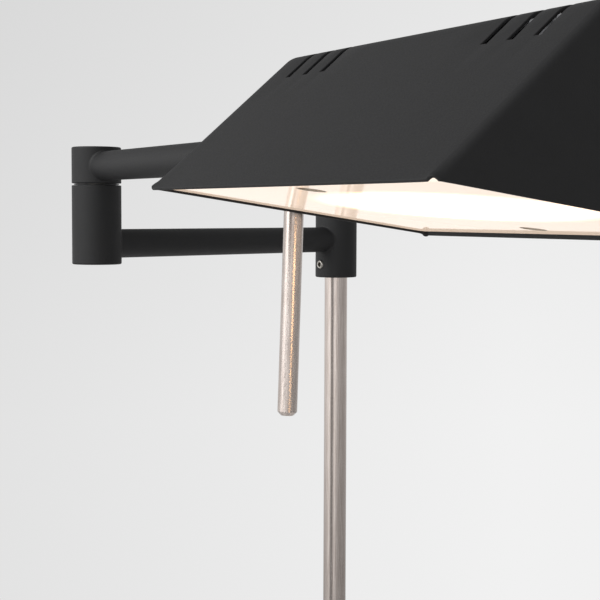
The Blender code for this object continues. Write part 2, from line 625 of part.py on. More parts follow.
def build_head(head):
    """The socket at the arm's end with the dimmer, its rod, and the hollow spindle for the shade."""
    along = (math.pi / 2, 0, 0)
    tube_hole = ARM_R + CLEAR
    step = SOCKET_BACK + SOCKET_TUBE_DEPTH
    socket = turned("head_socket", [
        (SOCKET_R - BARREL_EDGE, SOCKET_FRONT), (SOCKET_R, SOCKET_FRONT - BARREL_EDGE),
        (SOCKET_R, SOCKET_BACK + BARREL_EDGE), (SOCKET_R - BARREL_EDGE, SOCKET_BACK),
        (tube_hole, SOCKET_BACK), (tube_hole, step), (NIPPLE_HOLE_R, step),
        (NIPPLE_HOLE_R, SOCKET_FRONT)], BLACK_COAT, parent=head, rotation=along)
    rod_spot = (0, -ROD_ALONG, 0)
    pocket = DIMMER_DIA / 2 + CLEAR
    cut(socket, cutter_rod("dimmer_pocket", pocket, SOCKET_DIA, head, rod_spot, (math.pi, 0, 0)))

    dimmer_high = -NIPPLE_R - 2 * CLEAR
    dimmer_low = dimmer_high - DIMMER_HEIGHT
    neck_hole = ROD_NECK_DIA / 2 + CLEAR
    turned("dimmer_unit", ring(DIMMER_DIA / 2, neck_hole, dimmer_low, dimmer_high), DARK_PLASTIC,
           parent=head, location=rod_spot)
    bush_high = dimmer_low - CLEAR
    turned("rod_bush", ring(DIMMER_DIA / 2, neck_hole, bush_high - ROD_BUSH_HEIGHT, bush_high), BRASS,
           parent=head, location=rod_spot)
    turned("head_spindle", ring(NIPPLE_R, NIPPLE_BORE / 2, step + CLEAR, SHADE_START + SPINDLE_INSIDE),
           ZINC, parent=head, rotation=along)

    washer_low = SOCKET_FRONT + CLEAR
    washer_high = SHADE_START - CLEAR
    turned("shade_washer", ring(SOCKET_R - BARREL_EDGE, NIPPLE_HOLE_R, washer_low, washer_high),
           DARK_PLASTIC, parent=head, rotation=along)
    inner_low = SHADE_START + SHEET + CLEAR
    turned("shade_inner_washer", ring(NUT_FLATS / 2 + SHADE_WASHER_EXTRA, NIPPLE_HOLE_R, inner_low,
                                      inner_low + WASHER_THICK), ZINC, parent=head, rotation=along)
    spring_low = inner_low + WASHER_THICK + CLEAR
    spring_washer("shade_spring_washer", NUT_FLATS / 2, spring_low, head, rotation=along)
    nut("shade_nut", spring_low + SPRING_THICK + CLEAR, ZINC, head, rotation=along)


def build_rod(pivot):
    """The rod hangs from a thin neck that turns the dimmer."""
    neck = ROD_NECK_DIA / 2
    radius = ROD_DIA / 2
    neck_high = -NIPPLE_R - 2 * CLEAR - 1 * MM
    shoulder = -SOCKET_R - CLEAR
    edge = ROD_CHAMFER / 4
    turned("dimmer_rod", [
        (0, neck_high), (neck, neck_high), (neck, shoulder), (radius - edge, shoulder),
        (radius, shoulder - edge), (radius, -ROD_END + ROD_CHAMFER), (radius - ROD_CHAMFER, -ROD_END),
        (0, -ROD_END)], STAINLESS, parent=pivot)


# Shade


def side_at(height):
    """Half width of the shade's outside at a height in its own frame."""
    return HALF_WIDTH - (height - RIM_Z) * SIDE_SPREAD / SHADE_HEIGHT


def build_shell(shade):
    """Folded sheet: the ridge bends are wide and the end bends are tight."""
    shell = frustum("shade_shell", HALF_WIDTH, HALF_TOP, (-SHADE_LEN, 0), (-SHADE_LEN, 0),
                    RIM_Z, TOP_Z, open_faces=(-1,))
    ridge_offset = RIDGE_BEND * math.tan(SLANT / 2)
    share = CORNER_BEND / ridge_offset
    weights = shell.data.attributes.new("bevel_weight_edge", 'FLOAT', 'EDGE')
    for edge in shell.data.edges:
        a, b = (shell.data.vertices[i].co for i in edge.vertices)
        at_rim = max(a.z, b.z) < TOP_Z - MM
        ridge = abs(a.y - b.y) > SHADE_LEN / 2 and not at_rim
        weights.data[edge.index].value = 1.0 if ridge else (0.0 if at_rim else share)
    bevel = shell.modifiers.new("bends", 'BEVEL')
    bevel.limit_method = 'WEIGHT'
    bevel.width = ridge_offset
    bevel.segments = 4
    solid = shell.modifiers.new("sheet", 'SOLIDIFY')
    solid.thickness = SHEET
    solid.offset = -1.0
    solid.use_even_offset = True
    finish(shell, BLACK_COAT, shade)

    reach = HALF_WIDTH - SLOT_END_ALONG * math.cos(SLANT)
    for end in ("inner", "outer"):
        for index in range(SLOT_COUNT):
            along = SLOT_FIRST + index * SLOT_PITCH
            y = -along if end == "inner" else along - SHADE_LEN
            slot = box(f"slot_{end}_{index}", (-reach, y - SLOT_WIDTH / 2, RIM_Z),
                       (reach, y + SLOT_WIDTH / 2, TOP_Z + SHEET))
            cut(shell, cutter(slot, shade))
    cut(shell, cutter_rod("spindle_hole", NIPPLE_HOLE_R, SHEET * 6, shade, (0, 0, 0),
                          (math.pi / 2, 0, 0), -SHEET * 3))
    bead_z = RIM_Z + BEAD_RISE
    for name, x, y, _ in corners(side_at(bead_z) - SHEET_ACROSS / 2, BEAD_SETBACK, "right"):
        cut(shell, cutter(ball("bead_" + name, BEAD_RADIUS), shade, (x, y, bead_z)), 'UNION')
    for name, x, y, turn in corners(HALF_WIDTH, 0.0, "left"):
        reach = RELIEF_RADIUS * 3
        outside = (x - reach * math.sin(turn), y + reach * math.cos(turn),
                   RIM_Z + RELIEF_HEIGHT - RELIEF_RADIUS)
        cut(shell, cutter_rod("relief_" + name, RELIEF_RADIUS, reach * 2, shade, outside,
                              (math.pi / 2, 0, turn)))


def corners(half, setback, side):
    """Name, X, Y and the plan angle that points outward from +Y, for the two lower corners of a side."""
    sign = 1 if side == "right" else -1
    return [("inner_" + side, sign * half, -setback, math.radians(-sign * 45.0)),
            ("outer_" + side, sign * half, setback - SHADE_LEN, math.radians(-sign * 135.0))]


def build_light(shade):
    top = DIFFUSER_Z + DIFFUSER_THICK
    wall = SHEET_ACROSS + DIFFUSER_GAP / math.sin(SLANT)
    ends = (-SHADE_LEN + SHEET + DIFFUSER_GAP, -SHEET - DIFFUSER_GAP)
    plate = frustum("diffuser", side_at(DIFFUSER_Z) - wall, side_at(top) - wall, ends, ends, DIFFUSER_Z, top,
                    corner=CORNER_BEND)
    finish(plate, ACRYLIC, shade)
    middle = -SHADE_LEN / 2
    head_high = DIFFUSER_Z + EYELET_DEPTH - CLEAR
    for label, x in (("left", -SCREW_OFFSET), ("right", SCREW_OFFSET)):
        spot = (x, middle, 0)
        eyelet = EYELET_DIA / 2
        cut(plate, cutter_rod("eyelet_bore_" + label, eyelet + CLEAR, EYELET_DEPTH + MM, shade,
                              (x, middle, DIFFUSER_Z - MM), (0, 0, 0)))
        shank = DIFFUSER_SCREW_DIA / 2
        cut(plate, cutter_rod("screw_bore_" + label, shank + CLEAR, DIFFUSER_THICK * 3, shade,
                              (x, middle, DIFFUSER_Z - MM), (0, 0, 0)))
        turned("diffuser_eyelet_" + label, ring(eyelet, eyelet - EYELET_WALL, DIFFUSER_Z, head_high), ZINC,
               parent=shade, location=spot)
        head = DIFFUSER_SCREW_HEAD / 2
        tip = top + DIFFUSER_SCREW_REACH
        head_low = head_high - DIFFUSER_SCREW_HEIGHT
        edge = DIFFUSER_SCREW_EDGE
        turned("diffuser_screw_" + label, [
            (0, tip), (shank, tip), (shank, head_high), (head, head_high), (head, head_low + edge),
            (head - edge, head_low), (0, head_low)], ZINC, parent=shade, location=spot)

    bead_x = side_at(RIM_Z + BEAD_RISE) - SHEET_ACROSS / 2
    for name, x, y, _ in corners(bead_x, BEAD_SETBACK, "right"):
        cut(plate, cutter_rod("bead_notch_" + name, BEAD_RADIUS + 2 * CLEAR, DIFFUSER_THICK * 3, shade,
                              (x, y, DIFFUSER_Z - DIFFUSER_THICK), (0, 0, 0)))

    low = (SHADE_LEN - SINK_LEN) / 2
    sink_high = TOP_Z - SHEET - CLEAR
    sink = box("led_heat_sink", (-SINK_WIDTH / 2, low - SHADE_LEN, SINK_BOTTOM),
               (SINK_WIDTH / 2, -low, SINK_BOTTOM + SINK_PLATE))
    finish(sink, ALUMINIUM, shade)
    fin_low = SINK_BOTTOM + SINK_PLATE / 2
    for index in range(3):
        x = (index - 1) * SINK_LEG_SPREAD / 2
        fin = box(f"sink_fin_{index}", (x - SINK_FIN / 2, low - SHADE_LEN + SINK_FIN_SETBACK, fin_low),
                  (x + SINK_FIN / 2, -low - SINK_FIN_SETBACK, sink_high))
        cut(sink, cutter(fin, shade), 'UNION')
    board_high = SINK_BOTTOM - CLEAR
    board = box("led_board", (-BOARD_WIDTH / 2, low - SHADE_LEN, board_high - BOARD_THICK),
                (BOARD_WIDTH / 2, -low, board_high))
    finish(board, BOARD, shade)

    foot = top + REFLECTOR_GAP
    crown = SINK_BOTTOM - 2 * CLEAR
    crown_half = BOARD_WIDTH / 2 + REFLECTOR_SHEET + CLEAR
    foot_half = side_at(foot) - SHEET_ACROSS - 2 * REFLECTOR_GAP
    foot_ends = (REFLECTOR_SETBACK - SHADE_LEN, -REFLECTOR_SETBACK)
    crown_ends = (foot_ends[0] + REFLECTOR_RUN - CLEAR, foot_ends[1] - REFLECTOR_RUN + CLEAR)
    reflector = frustum("reflector", foot_half, crown_half, foot_ends, crown_ends, foot, crown,
                        open_faces=(1, -1))
    solid = reflector.modifiers.new("sheet", 'SOLIDIFY')
    solid.thickness = REFLECTOR_SHEET
    solid.offset = -1.0
    solid.use_even_offset = True
    finish(reflector, WHITE_COAT, shade)


def main():
    global lamp, cutters
    clear_scene()
    lamp = new_collection("swing_arm_floor_lamp")
    cutters = new_collection("cutters")
    build_base()
    build_pole()
    arm_swing = axis_empty("arm_swing_axis", None, (0, 0, 0))
    build_collar(arm_swing)
    build_lower_arm(arm_swing)
    spring_low = build_elbow_lower(arm_swing)
    elbow_swing = axis_empty("elbow_swing_axis", arm_swing, (ELBOW_X, ELBOW_Y, 0))
    build_elbow_upper(elbow_swing, spring_low)
    build_upper_arm(elbow_swing)
    head = axis_empty("head_axis", elbow_swing, (0, 0, UPPER_AXIS_Z), (0, HEAD_LEAN, 0))
    build_head(head)
    build_rod(axis_empty("dimmer_axis", head, (0, -ROD_ALONG, 0)))
    shade = axis_empty("shade_tilt_axis", elbow_swing, (0, -SHADE_START, UPPER_AXIS_Z), (0, SHADE_ROLL, 0))
    build_shell(shade)
    build_light(shade)


main()
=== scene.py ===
"""Swing-arm floor lamp: the looks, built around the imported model.

Lengths are metres in the model's own frame: the origin is under the middle of the base, +Z runs up the
pole, and at rest the upper arm and the shade point along -Y.
"""
import json
import math

import bmesh
import bpy
import numpy as np
from mathutils import Matrix, Vector


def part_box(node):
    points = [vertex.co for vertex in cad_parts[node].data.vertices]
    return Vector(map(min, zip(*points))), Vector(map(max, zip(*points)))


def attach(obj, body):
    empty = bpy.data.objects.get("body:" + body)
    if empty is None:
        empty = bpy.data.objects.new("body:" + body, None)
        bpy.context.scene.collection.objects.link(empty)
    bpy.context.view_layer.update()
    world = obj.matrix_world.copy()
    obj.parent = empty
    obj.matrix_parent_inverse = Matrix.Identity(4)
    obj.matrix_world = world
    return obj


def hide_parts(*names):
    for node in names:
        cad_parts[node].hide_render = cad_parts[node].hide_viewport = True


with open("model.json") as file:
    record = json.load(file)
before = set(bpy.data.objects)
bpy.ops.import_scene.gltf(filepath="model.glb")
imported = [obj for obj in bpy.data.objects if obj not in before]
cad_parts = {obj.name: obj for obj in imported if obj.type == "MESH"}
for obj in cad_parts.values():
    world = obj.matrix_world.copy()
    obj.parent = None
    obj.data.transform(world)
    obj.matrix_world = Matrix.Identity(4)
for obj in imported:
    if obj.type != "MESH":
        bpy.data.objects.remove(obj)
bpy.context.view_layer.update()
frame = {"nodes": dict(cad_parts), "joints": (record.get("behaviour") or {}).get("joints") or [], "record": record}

MM = 0.001
TAU = 2 * math.pi
X, Y, Z = np.eye(3)

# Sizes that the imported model's boxes don't give
FINE_EDGE = 0.2 * MM      # broken edges of turned pieces
SMALL_EDGE = 0.3 * MM
EASED_EDGE = 0.4 * MM
SOFT_EDGE = 0.5 * MM
CLEARANCE = 0.3 * MM      # a bore round what it fits, and a face next to another
COVER_WALL = 1.5 * MM
COVER_EDGE = 4.0 * MM
GROMMET_BORE = 6.5 * MM
GROMMET_STANDOFF = 0.6 * MM   # lip's back off the cover's wall
RING_CREST = 3.0 * MM     # foot ring: flat round the pole, a cone, and a low rim
RING_TOE = 1.5 * MM
RING_TOE_HEIGHT = 2.2 * MM
RING_RIM = 1.8 * MM
POLE_WALL = 1.3 * MM
BARREL_EDGE = 0.9 * MM
JOINT_EDGE = EASED_EDGE   # where the two halves of the elbow meet
BARREL_BORE = 11.0 * MM   # radius
LOWER_WEB = 7.0 * MM
UPPER_WEB = 6.0 * MM
ARM_WALL = 1.5 * MM
WELD = 1.1 * MM           # fillet of coat where a tube meets a barrel
COLLAR_BORE = 10.0 * MM   # radius round the pole
COLLAR_SHOULDER = 22.0 * MM   # bore's end above the collar's foot
COLLAR_CHAMBER = 7.0 * MM     # radius round the swivel
COLLAR_ROOF = 5.0 * MM
SCREW_AZIMUTH = math.radians(-172.0)
SCREW_DIA = 6.0 * MM
SCREW_LENGTH = 4.4 * MM
SCREW_HOLE = 4.0 * MM     # depth
SCREW_PROUD = 0.7 * MM
HEX_FLATS = 3.0 * MM
HEX_DEPTH = 2.2 * MM
SPINDLE_HOLE = 5.3 * MM   # radius
SOCKET_STEP = 10.0 * MM   # how far the arm goes into the head's socket
ROD_HOLE = 3.8 * MM       # radius
ROD_HOLE_DEPTH = 7.0 * MM
ROD_RADIUS = 4.4 * MM
ROD_CHAMFER = 1.7 * MM
ROD_NECK = 1.9 * MM       # radius
ROD_TOP = 6.8 * MM        # neck's end below the arm's axis
SHADE_ROLL = math.radians(8.0)
SHADE_SIZE = np.array([140.0, 200.0, 67.0]) * MM
SHADE_TOP = 22.0 * MM
RIM_DROP = 27.0 * MM      # rim below the tilt axis
SHEET = 1.2 * MM
SHEET_EDGE = 0.3 * MM
RIDGE_BEND = 12.0 * MM
CORNER_BEND = 3.0 * MM
SLOT_COUNT = 3            # at each end
SLOT_WIDTH = 3.6 * MM
SLOT_PITCH = 13.8 * MM
SLOT_FIRST = 19.9 * MM
SLOT_ALONG = 71.5 * MM    # slot's lower end, up the side from the rim
RELIEF_RADIUS = 2.2 * MM
RELIEF_HEIGHT = 1.3 * MM
RELIEF_REACH = 9.0 * MM   # notch's part of the rim, from the corner
RELIEF_FADE = 4.0 * MM    # height over which the notch's lift dies out
BEAD_RADIUS = 1.9 * MM
BEAD_RISE = 0.7 * MM      # bead's middle above the rim
BEAD_SETBACK = 2.3 * MM
EYELET_RADIUS = 5.5 * MM
EYELET_WALL = 0.5 * MM
EYELET_DEPTH = 1.5 * MM

joints = {joint["name"]: joint for joint in frame["joints"]}


def unit(vector):
    vector = np.array(vector, float)
    return vector / np.linalg.norm(vector)


def node_box(node):
    """Lowest corner, highest corner and middle of a node."""
    low, high = (np.array(corner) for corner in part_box(node))
    return low, high, (low + high) / 2


# Surfaces


def rounded(corners, steps=5):
    """A line through (across, up, fillet) corners.

    A corner with a fillet f and a turn t gives way to an arc of radius f, which starts f tan(t / 2) before
    it, and to one more point on each side, so that the shading of the flats stays flat.
    """
    points = np.array([corner[:2] for corner in corners], float)
    line = []
    for i, (_, _, fillet) in enumerate(corners):
        here = points[i]
        if not fillet or i in (0, len(corners) - 1):
            line.append(here[None])
            continue
        back, ahead = unit(points[i - 1] - here), unit(points[i + 1] - here)
        half = math.acos(np.clip(back @ ahead, -1, 1)) / 2
        reach = fillet / math.tan(half)
        centre = here + unit(back + ahead) * fillet / math.sin(half)
        start, end = here + back * reach - centre, here + ahead * reach - centre
        turn = math.pi - 2 * half
        share = np.linspace(0, 1, steps + 1)[:, None]
        arc = (np.sin((1 - share) * turn) * start + np.sin(share * turn) * end) / math.sin(turn)
        pad = min(fillet * 0.5, 0.5 * MM)
        line += [(here + back * (reach + pad))[None], centre + arc, (here + ahead * (reach + pad))[None]]
    return np.concatenate(line)


def quads(rows, columns, wrap_rows=False, wrap_columns=False):
    """Corner numbers of the cells of a grid of points, stored row by row."""
    number = np.arange(rows * columns).reshape(rows, columns)
    if wrap_rows:
        number = np.vstack([number, number[:1]])
    if wrap_columns:
        number = np.hstack([number, number[:, :1]])
    return np.stack([number[:-1, :-1], number[:-1, 1:], number[1:, 1:], number[1:, :-1]], -1)


def frame_of(axis):
    """Three unit vectors, the last one along an axis."""
    axis = unit(axis)
    side = unit(np.cross(axis, X if abs(axis @ X) < 0.9 else Y))
    return np.stack([side, np.cross(axis, side), axis])


def piece(name, patches, material, body, nodes, sharp=50):
    """One object from patches of (points, cells), welded where they meet, facing out, on its body."""
    points = np.concatenate([np.asarray(p).reshape(-1, 3) for p, _ in patches])
    starts = np.cumsum([0] + [np.asarray(p).size // 3 for p, _ in patches[:-1]])
    cells = np.concatenate([np.asarray(c).reshape(-1, 4) + s for (_, c), s in zip(patches, starts)])
    mesh = bpy.data.meshes.new(name)
    mesh.from_pydata(points, [], cells)
    shape = bmesh.new()
    shape.from_mesh(mesh)
    bmesh.ops.remove_doubles(shape, verts=shape.verts, dist=0.002 * MM)
    bmesh.ops.dissolve_degenerate(shape, edges=shape.edges, dist=0.001 * MM)
    bmesh.ops.recalc_face_normals(shape, faces=shape.faces)
    middle = sum((v.co for v in shape.verts), Vector()) / len(shape.verts)
    if sum(f.calc_area() * f.normal.dot(f.calc_center_median() - middle) for f in shape.faces) < 0:
        bmesh.ops.reverse_faces(shape, faces=shape.faces)
    shape.to_mesh(mesh)
    shape.free()
    mesh.shade_smooth()
    mesh.set_sharp_from_angle(angle=math.radians(sharp))
    mesh.materials.append(material)
    item = bpy.data.objects.new(name, mesh)
    bpy.context.scene.collection.objects.link(item)
    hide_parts(*nodes)
    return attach(item, body)


def insert_lines(lines, middle, spread, count):
    """Sorted lines of a grid, with those near a middle replaced by an even set across it."""
    kept = lines[np.abs(lines - middle) > spread * 1.25]
    return np.sort(np.concatenate([kept, middle + np.linspace(-spread, spread, count + 1)]))


def revolved(corners, origin, axis, steps=96, holes=()):
    """Patches of a turned surface: point = origin + r (cos a, sin a) + h axis.

    r and h follow the rounded line through the corners, and a goes once round. A line that starts off the
    axis closes on itself. Each hole is (direction, height, radius, depth) in the outside wall: the square
    of cells round it gives way to rows that go from the square to the circle, straight in, and to the
    middle of the hole's floor.
    """
    side, across, along = frame_of(axis)
    line = rounded(corners)
    closed = line[0, 0] > 0
    angles = np.arange(steps) * TAU / steps
    wall = line[:, 0].max()
    squares = []
    per_side = 8
    for direction, height, radius, depth in holes:
        direction = unit(direction)
        middle = math.atan2(direction @ across, direction @ side) % TAU
        spread = 1.1 * radius
        angles = insert_lines(angles, middle, spread / wall, per_side)
        first = np.flatnonzero(np.isclose(line[:-1, 0], wall) & np.isclose(line[1:, 0], wall)
                               & ((line[:-1, 1] - height) * (line[1:, 1] - height) < 0))[0]
        rows = height + np.linspace(spread, -spread, per_side + 1)
        rows = rows if line[first, 1] > height else rows[::-1]
        line = np.insert(line, first + 1, np.stack([np.full_like(rows, wall), rows], -1), axis=0)
        squares.append((middle, height, radius, depth, spread))

    def place(angle, radius, height):
        angle, radius, height = np.broadcast_arrays(angle, radius, height)
        return (np.asarray(origin) + (radius * np.cos(angle))[..., None] * side
                + (radius * np.sin(angle))[..., None] * across + height[..., None] * along)

    grid = place(angles[None, :], line[:, :1], line[:, 1:])
    cells = quads(len(line), len(angles), closed, True)
    patches = []
    keep = np.ones(cells.shape[:2], bool)
    next_angle = np.append(angles[1:], angles[0] + TAU)
    middle_angle = (angles + next_angle) / 2
    ends = np.vstack([line, line[:1]]) if closed else line
    middle_up = (ends[:-1, 1] + ends[1:, 1]) / 2
    on_wall = np.isclose(ends[:-1, 0], wall) & np.isclose(ends[1:, 0], wall)
    for middle, height, radius, depth, spread in squares:
        inside = (np.abs(middle_up - height) < spread)[:, None] & on_wall[:, None] & (
            np.abs((middle_angle - middle + math.pi) % TAU - math.pi) < spread / wall)[None, :]
        keep &= ~inside
        run = np.linspace(-1, 1, per_side + 1)[:-1]
        edge = np.ones(per_side)
        square = np.concatenate([np.stack(pair, -1) for pair in (
            (run, -edge), (edge, run), (-run, edge), (-edge, -run))]) * spread
        turn = np.arctan2(square[:, 1], square[:, 0])
        circle = radius * np.stack([np.cos(turn), np.sin(turn)], -1)
        rows = np.stack([square, (square + circle * 2) / 3, circle, circle, circle * 0])
        deep = np.array([0, 0, 0, depth, depth])[:, None]
        patches.append((place(middle + rows[..., 0] / wall, wall - deep, height + rows[..., 1]),
                        quads(len(rows), len(turn), False, True)))
    return [(grid, cells[keep])] + patches


def turned(name, corners, origin, axis, material, body, nodes, steps=96, holes=()):
    """A turned piece with its own material, which stands for the nodes."""
    return piece(name, revolved(corners, origin, axis, steps, holes), material, body, nodes)


# Materials


def colour(code):
    """Linear red, green and blue of an sRGB hex colour."""
    values = np.array([int(code[i:i + 2], 16) for i in (1, 3, 5)]) / 255
    linear = np.where(values <= 0.04045, values / 12.92, ((values + 0.055) / 1.055) ** 2.4)
    return (*linear.tolist(), 1.0)


def add(tree, kind, inputs=None, **settings):
    """Add a node with its settings. Inputs are values, or sockets of other nodes, by name or number."""
    node = tree.nodes.new(kind)
    for key, value in settings.items():
        setattr(node, key, value)
    for key, value in (inputs or {}).items():
        if isinstance(value, bpy.types.NodeSocket):
            tree.links.new(value, node.inputs[key])
        else:
            node.inputs[key].default_value = value
    return node


def finish(name, **inputs):
    """A new material, its node tree, its shader and the object's own coordinates."""
    material = bpy.data.materials.new(name)
    material.use_nodes = True
    tree = material.node_tree
    shader = tree.nodes["Principled BSDF"]
    for key, value in inputs.items():
        shader.inputs[key.replace("_", " ")].default_value = value
    place = add(tree, "ShaderNodeTexCoord").outputs["Object"]
    return material, tree, shader, place


def noise(tree, place, size, detail=2.0, stretch=(1, 1, 1), turn=(0, 0, 0)):
    """Soft noise whose grains measure a size, longer along an axis where stretch is above one."""
    moved = add(tree, "ShaderNodeMapping", {"Vector": place, "Rotation": turn,
                                            "Scale": [1 / s for s in stretch]}).outputs[0]
    return add(tree, "ShaderNodeTexNoise", {"Vector": moved, "Scale": 1 / size, "Detail": detail}).outputs[0]


def ranged(tree, value, low, high, to_low, to_high):
    """A value moved from one range to another, held at the ends."""
    return add(tree, "ShaderNodeMapRange", {"Value": value, "From Min": low, "From Max": high,
                                            "To Min": to_low, "To Max": to_high}).outputs[0]


def blended(tree, factor, first, second):
    """A colour between two colours."""
    return add(tree, "ShaderNodeMix", {"Factor": factor, 6: first, 7: second}, data_type='RGBA').outputs[2]


COAT_GRAIN = 0.6 * MM     # real grain is about a third of this, and is drawn coarser so that it shows
COAT_CLOUD = 9 * MM       # slow change of the grain's darkness


def powder_coat():
    """Fine-textured epoxy powder coat: matt and near black, with a sand-like relief."""
    material, tree, shader, place = finish("black powder coat", Roughness=0.6, IOR=1.5,
                                           Specular_IOR_Level=0.34)
    grain = noise(tree, place, COAT_GRAIN, 3.0)
    cloud = noise(tree, place, COAT_CLOUD, 2.0)
    mixed = add(tree, "ShaderNodeMath", {0: grain, 1: ranged(tree, cloud, 0.3, 0.7, -0.05, 0.05)},
                operation='ADD').outputs[0]
    base = blended(tree, ranged(tree, mixed, 0.3, 0.7, 0.0, 1.0), colour("#131314"), colour("#1B1B1C"))
    tree.links.new(base, shader.inputs["Base Color"])
    tree.links.new(ranged(tree, grain, 0.3, 0.7, 0.54, 0.68), shader.inputs["Roughness"])
    bump = add(tree, "ShaderNodeBump", {"Height": grain, "Strength": 0.5, "Distance": 0.1 * MM})
    tree.links.new(bump.outputs[0], shader.inputs["Normal"])
    return material


STEEL_LINE = 0.35 * MM    # belt's scratches, drawn a few times wider than real so that they show
STEEL_MOTTLE = 0.7 * MM


def brushed_steel(name, low, high, drawn, turn=(0, 0, 0)):
    """Stainless steel, belt-polished: warm grey, with its reflections drawn out along the tube.

    Roughness runs from low to high over the surface.
    """
    material, tree, shader, place = finish(name, Metallic=1.0, Roughness=low, Anisotropic=drawn,
                                           Anisotropic_Rotation=0.25)
    line = noise(tree, place, STEEL_LINE, 2.0, (1, 1, 60), turn)
    mottle = noise(tree, place, STEEL_MOTTLE, 2.0, (1, 1, 2.5), turn)
    base = blended(tree, ranged(tree, line, 0.35, 0.65, 0.0, 1.0), colour("#B9ADA6"), colour("#D2C8C2"))
    tree.links.new(base, shader.inputs["Base Color"])
    tree.links.new(ranged(tree, mottle, 0.3, 0.7, low, high), shader.inputs["Roughness"])
    relief = add(tree, "ShaderNodeMath", {0: line, 1: mottle}, operation='ADD').outputs[0]
    bump = add(tree, "ShaderNodeBump", {"Height": relief, "Strength": 0.25, "Distance": 0.03 * MM})
    tree.links.new(bump.outputs[0], shader.inputs["Normal"])
    return material


def metal(name, first, second, roughness, grain):
    """Bare or plated metal with a fine cast or rolled grain."""
    material, tree, shader, place = finish(name, Metallic=1.0, Roughness=roughness)
    speckle = noise(tree, place, grain, 3.0)
    base = blended(tree, ranged(tree, speckle, 0.35, 0.65, 0.0, 1.0), colour(first), colour(second))
    tree.links.new(base, shader.inputs["Base Color"])
    tree.links.new(ranged(tree, speckle, 0.3, 0.7, roughness * 0.8, roughness * 1.2),
                   shader.inputs["Roughness"])
    bump = add(tree, "ShaderNodeBump", {"Height": speckle, "Strength": 0.3, "Distance": grain * 0.05})
    tree.links.new(bump.outputs[0], shader.inputs["Normal"])
    return material


def moulded(name, first, second, roughness, grain, relief):
    """Moulded plastic, rubber, felt or paint: a plain surface with the texture of its mould or fibres."""
    material, tree, shader, place = finish(name, Roughness=roughness)
    texture = noise(tree, place, grain, 4.0)
    base = blended(tree, ranged(tree, texture, 0.35, 0.65, 0.0, 1.0), colour(first), colour(second))
    tree.links.new(base, shader.inputs["Base Color"])
    tree.links.new(ranged(tree, texture, 0.3, 0.7, roughness * 0.9, min(roughness * 1.1, 1.0)),
                   shader.inputs["Roughness"])
    bump = add(tree, "ShaderNodeBump", {"Height": texture, "Strength": relief, "Distance": grain * 0.3})
    tree.links.new(bump.outputs[0], shader.inputs["Normal"])
    return material


GLOW_OFFSET = (-8 * MM, -25 * MM)    # brightest spot from the plate's middle, across and along the shade
GLOW_REACH = (42 * MM, 80 * MM)
GLOW_PEAK = 24.0
GLOW_PLATE, GLOW_EDGE = 0.50, 0.80   # level away from the diodes, and along the left-hand edge
GLOW_EDGE_AT = (-58 * MM, -63 * MM)  # across the shade, where the level goes from one to the other


def opal_acrylic(middle):
    """Opal PMMA sheet lit from behind: glossy, with a warm white pool of light that fades towards its edges.

    With d the distance from the brightest spot as a share of the pool's reach, the light is the peak times
    (1 - d^2)^3, plus the plate's own level.
    """
    material, tree, shader, place = finish("opal acrylic, lit", Roughness=0.05, IOR=1.49)
    shader.inputs["Base Color"].default_value = colour("#D8D2CA")
    local = add(tree, "ShaderNodeMapping", {"Vector": place, "Location": middle,
                                            "Rotation": (0, SHADE_ROLL, 0)},
                vector_type='TEXTURE').outputs[0]
    parts = add(tree, "ShaderNodeSeparateXYZ", {0: local})

    def size_of(socket, offset, width):
        shifted = add(tree, "ShaderNodeMath", {0: socket, 1: -offset}, operation='ADD').outputs[0]
        distance = add(tree, "ShaderNodeMath", {0: shifted}, operation='ABSOLUTE').outputs[0]
        return add(tree, "ShaderNodeMath", {0: distance, 1: 1 / width}, operation='MULTIPLY').outputs[0]

    across, along = (size_of(parts.outputs[i], GLOW_OFFSET[i], GLOW_REACH[i]) for i in (0, 1))
    squares = [add(tree, "ShaderNodeMath", {0: part, 1: 2.0}, operation='POWER').outputs[0]
               for part in (across, along)]
    total = add(tree, "ShaderNodeMath", {0: squares[0], 1: squares[1]}, operation='ADD').outputs[0]
    near = ranged(tree, total, 0.0, 1.0, 1.0, 0.0)
    core = add(tree, "ShaderNodeMath", {0: near, 1: 3.0}, operation='POWER').outputs[0]
    plate = ranged(tree, parts.outputs[0], *GLOW_EDGE_AT, GLOW_PLATE, GLOW_EDGE)
    strength = add(tree, "ShaderNodeMath", {0: core, 1: GLOW_PEAK, 2: plate},
                   operation='MULTIPLY_ADD').outputs[0]
    warm = blended(tree, near, colour("#FFDFC2"), colour("#FFCF92"))
    tree.links.new(warm, shader.inputs["Emission Color"])
    tree.links.new(strength, shader.inputs["Emission Strength"])
    return material


coat = powder_coat()
pole_steel = brushed_steel("brushed stainless steel", 0.13, 0.22, 0.4)
lean = math.atan2(joints["dimmer_turn"]["axis"][0], joints["dimmer_turn"]["axis"][2])
rod_steel = brushed_steel("brushed stainless steel rod", 0.24, 0.34, 0.93, (0, -lean, 0))
# Warm grey and satin: rolled steel with a thin passivated plating
zinc = metal("zinc-plated steel", "#BDB3A5", "#D2C9BC", 0.42, 0.8 * MM)
# Grey, polished only by the cutting tool
screw_steel = metal("stainless screw steel", "#98948E", "#AFABA5", 0.32, 0.5 * MM)
# Charcoal, with a deep fibrous nap
felt = moulded("wool felt", "#1A1A1C", "#2C2C2F", 0.95, 0.9 * MM, 0.8)
